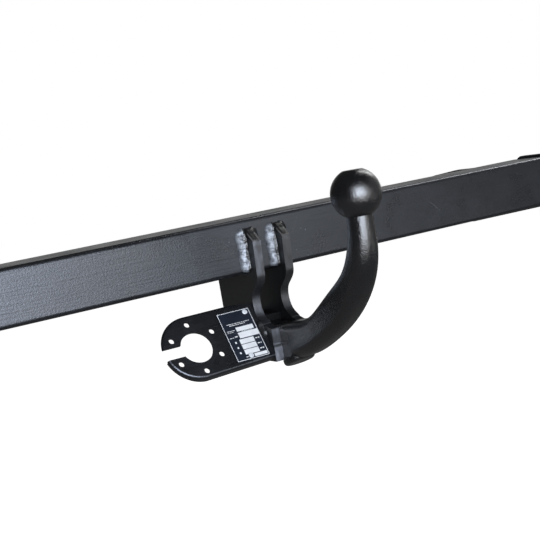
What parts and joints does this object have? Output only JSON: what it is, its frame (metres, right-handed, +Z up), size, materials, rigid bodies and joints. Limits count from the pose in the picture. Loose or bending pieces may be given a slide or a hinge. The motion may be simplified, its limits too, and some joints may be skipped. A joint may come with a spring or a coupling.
{
  "type": "detachable towbar",
  "caption": "Cross beam with side brackets, two welded ribs, a bent ball neck that draws out of a pocket between the ribs, and a slotted socket plate.",
  "frame": {"origin": "centre of the tow ball", "axes": "+X to the car's right along the cross beam, +Y forward into the car, +Z up"},
  "size_m": [0.902, 0.479, 0.2036],
  "materials": {
    "frame_black": "satin black powder coat",
    "neck_black": "satin black coat on forged steel",
    "weld_metal": "rough weld metal, thinly coated",
    "painted_weld": "black coat over a weld bead",
    "zinc_steel": "zinc plated",
    "type_plate": "dark printed plate with blank pale fields",
    "rivets": "satin"
  },
  "bodies": {
    "carrier": {"cross_beam": "frame_black", "pocket_back": "frame_black", "pocket_floor": "frame_black", "pocket_roof": "frame_black", "rib_left": "frame_black", "rib_right": "frame_black", "side_bracket_left": "frame_black", "side_bracket_right": "frame_black", "socket_plate": "frame_black", "type_plate": "type_plate", "type_plate_rivets": "rivets", "weld_cap_left": "painted_weld", "weld_cap_right": "painted_weld", "weld_rib_left_a": "weld_metal", "weld_rib_left_b": "weld_metal", "weld_rib_right_a": "weld_metal", "weld_rib_right_b": "weld_metal", "weld_side_bracket_left_low": "painted_weld", "weld_side_bracket_left_rear": "painted_weld", "weld_side_bracket_right_low": "painted_weld", "weld_side_bracket_right_rear": "painted_weld", "weld_socket_a": "painted_weld", "weld_socket_b": "painted_weld", "weld_under_left": "painted_weld", "weld_under_right": "painted_weld"},
    "neck": {"ball_neck": "neck_black", "neck_disc": "neck_black"},
    "bolt_washer": {"draw_washer": "zinc_steel"},
    "bolt": {"draw_bolt": "zinc_steel"}
  },
  "joints": [
    {"name": "neck_slide", "type": "slide", "parent": "carrier", "child": "neck", "axis": [0, -1, 0], "range_m": [0, 0.08]},
    {"name": "bolt_withdraw", "type": "slide", "parent": "carrier", "child": "bolt_washer", "axis": [0, 1, 0], "range_m": [0, 0.055]},
    {"name": "bolt_turn", "type": "hinge", "parent": "bolt_washer", "child": "bolt", "pos_m": [0, 0.242, -0.14706], "axis": [0, 1, 0], "continuous": true}
  ]
}
